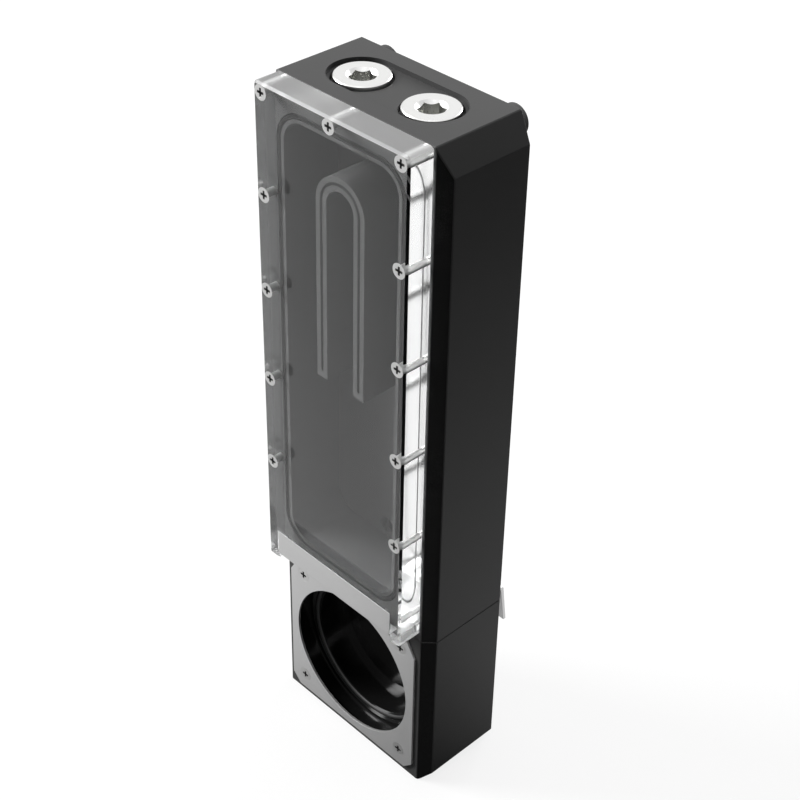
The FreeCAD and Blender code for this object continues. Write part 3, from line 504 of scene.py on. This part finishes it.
def make_screws():
    """Countersunk screws with a rounded rim and a recess painted dark as the shade inside it."""
    nodes = {
        "window_screws_left": "pane_screws_left", "window_screws_right": "pane_screws_right",
        "window_screw_top": "pane_screw_top", "window_screws_lower": "pane_screws_lower",
        "retaining_plate_screws": "plate_screws",
    }
    for node, name in nodes.items():
        screw = copy_of(node, name)
        soften(screw, METAL_EDGE)
        face_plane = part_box(node)[0].y

        def in_recess(centre, normal):
            depth = centre.y - face_plane
            on_cone = abs(abs(normal.y) - CONE_SLOPE) < CONE_SPREAD
            return 2 * METAL_EDGE < depth < RECESS_DEPTH and not on_cone

        # Faces deep in the recess get the painted shade
        paint(screw, MATERIALS["screw"], (MATERIALS["recess"], in_recess))
        stand_for(screw, node)


def make_plugs():
    for side, sign in (("left", -1), ("right", 1)):
        node = f"fill_plug_{side}"
        plug = copy_of(node, f"{side}_screw_plug")
        even_out(plug)
        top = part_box(node)[1].z
        axis = sign * PORT_SPACING / 2

        def is_inside(centre):
            return math.hypot(centre.x - axis, centre.y) < SOCKET_REACH

        # The socket's walls get the darker steel painted as the shade inside the socket
        def in_socket(centre, normal):
            return is_inside(centre) and centre.z < top - SOCKET_START and normal.z > UNDERSIDE

        # The chamfer at the socket's mouth gets the duller screw steel, painted shade that dims its
        # reflection
        def on_rim(centre, normal):
            sloping = RIM_SLOPE[0] < normal.z < RIM_SLOPE[1]
            return is_inside(centre) and centre.z > top - RIM_END and sloping

        paint(plug, PLUG_MATERIALS[side], (MATERIALS["socket"], in_socket), (MATERIALS["screw"], on_rim))
        stand_for(plug, node, f"{side}_plug")


def make_metalwork():
    for node, name in (("pump_retaining_plate", "bay_plate"), ("hanging_hook", "hook_strip")):
        sheet = copy_of(node, name)
        soften(sheet, PLATE_EDGE)
        paint(sheet, MATERIALS["plate"])
        stand_for(sheet, node)


def dress_nodes():
    """Gives every solid its finish; those whose shape is right as it is keep it to the end."""
    for item in frame["record"]["subparts"]:
        slot_name = item["material_slot"]
        if slot_name in MATERIALS:
            materials = frame["nodes"][item["node"]].data.materials
            materials.clear()
            materials.append(MATERIALS[slot_name])


# Stage

def seen_rays(tree, seen, mirrored):
    """One strength for rays from the camera or through glass, and another for those off gloss.

    A ray that has met a dull surface on its way gets nothing, or glass would shine on what is near.
    """
    path = tree.nodes.new("ShaderNodeLightPath")
    either = calculate(tree, "MAXIMUM", path.outputs["Is Camera Ray"], path.outputs["Is Transmission Ray"])
    shown = calculate(tree, "MULTIPLY", either, seen)
    glossy = calculate(tree, "MULTIPLY", path.outputs["Is Glossy Ray"], mirrored)
    strength = calculate(tree, "MAXIMUM", shown, glossy)
    fresh = calculate(tree, "LESS_THAN", path.outputs["Diffuse Depth"], 1)
    return calculate(tree, "MULTIPLY", strength, fresh)


def fade(tree, value, start, end):
    """Rises from 0 at start to 1 at end."""
    node = value_node(tree, "ShaderNodeMapRange")
    node.inputs["From Min"].default_value = start
    node.inputs["From Max"].default_value = end
    link(tree, value, node.inputs["Value"])
    return node.outputs["Result"]


def floor_in_gloss(tree, vector):
    """How brightly the floor shows in gloss: pale at the left, and in a pool behind the right side."""
    middle = value_node(tree, "ShaderNodeMapping", vector_type="TEXTURE")
    middle.inputs["Location"].default_value = POOL_PLACE
    middle.inputs["Scale"].default_value = (POOL_REACH, POOL_REACH, POOL_REACH)
    link(tree, vector, middle.inputs["Vector"])
    pool = value_node(tree, "ShaderNodeTexGradient", gradient_type="SPHERICAL")
    link(tree, middle.outputs["Vector"], pool.inputs["Vector"])
    place = tree.nodes.new("ShaderNodeSeparateXYZ")
    link(tree, vector, place.inputs["Vector"])
    behind = calculate(tree, "MULTIPLY", pool.outputs["Fac"], fade(tree, place.outputs["Y"], *POOL_EDGE))
    behind = calculate(tree, "MULTIPLY", behind, POOL_GLOW)
    left = calculate(tree, "MULTIPLY", fade(tree, place.outputs["X"], *LEFT_EDGE), LEFT_GLOW)
    return calculate(tree, "ADD", calculate(tree, "MAXIMUM", behind, left), FLOOR_GLOW_MIRRORED)


def make_floor():
    """A pale floor that shows as white and keeps the reservoir's shadow."""
    bpy.ops.mesh.primitive_plane_add(size=FLOOR_SIZE, location=(0, 0, 0))
    floor = bpy.context.active_object
    floor.name = "studio_floor"
    material, tree, shader, vector = new_material("pale_floor")
    shader.inputs["Base Color"].default_value = (FLOOR_COLOUR, FLOOR_COLOUR, FLOOR_COLOUR, 1)
    shader.inputs["Roughness"].default_value = 0.9
    shader.inputs["Specular IOR Level"].default_value = 0.0
    shader.inputs["Emission Color"].default_value = (1, 1, 1, 1)
    glow = seen_rays(tree, FLOOR_GLOW_SEEN, floor_in_gloss(tree, vector))
    link(tree, glow, shader.inputs["Emission Strength"])
    paint(floor, material)


def make_world():
    """White wherever it is seen, and a dim even light otherwise."""
    world = bpy.data.worlds.new("studio")
    bpy.context.scene.world = world
    world.use_nodes = True
    tree = world.node_tree
    background = tree.nodes["Background"]
    background.inputs["Color"].default_value = (1, 1, 1, 1)
    level = calculate(tree, "MAXIMUM", seen_rays(tree, 1.0, 1.0), WORLD_LIGHT)
    link(tree, level, background.inputs["Strength"])


def make_lamp(name, place, size, watts):
    data = bpy.data.lights.new(name, "AREA")
    data.shape = "RECTANGLE"
    data.size, data.size_y = size
    data.energy = watts
    lamp = bpy.data.objects.new(name, data)
    lamp.location = place
    lamp.rotation_euler = (Vector(LAMP_TARGET) - Vector(place)).to_track_quat("-Z", "Y").to_euler()
    # The pane lets the lamps' light straight through, so none is bent in it a second time
    lamp.visible_transmission = False
    bpy.context.scene.collection.objects.link(lamp)


def make_lamps():
    make_lamp("front_softbox", (-1.1, -0.72, 0.85), (0.5, 0.6), 36.0)
    make_lamp("top_softbox", (-0.15, 0.05, 1.65), (0.9, 0.9), 12.0)
    make_lamp("back_softbox", (-0.25, 1.3, 0.4), (0.7, 0.7), 24.0)


def make_camera():
    azimuth = math.radians(CAMERA_AZIMUTH)
    elevation = math.radians(CAMERA_ELEVATION)
    roll = math.radians(CAMERA_ROLL)
    back = Vector((math.sin(azimuth) * math.cos(elevation), -math.cos(azimuth) * math.cos(elevation),
                   math.sin(elevation)))
    level_right = Vector((math.cos(azimuth), math.sin(azimuth), 0))
    level_up = back.cross(level_right)
    right = level_right * math.cos(roll) + level_up * math.sin(roll)
    up = level_up * math.cos(roll) - level_right * math.sin(roll)
    data = bpy.data.cameras.new("photo_camera")
    data.lens = CAMERA_LENS
    data.sensor_width = CAMERA_SENSOR
    data.shift_x, data.shift_y = CAMERA_SHIFT
    camera = bpy.data.objects.new("photo_camera", data)
    turn = Matrix((right, up, back)).transposed().to_4x4()
    camera.matrix_world = Matrix.Translation(CAMERA_PLACE) @ turn
    bpy.context.scene.collection.objects.link(camera)
    bpy.context.scene.camera = camera


make_camera()
dress_nodes()
make_blocks()
make_window()
make_seals()
make_screws()
make_plugs()
make_metalwork()
make_floor()
make_world()
make_lamps()
bpy.context.scene.view_settings.view_transform = "Standard"
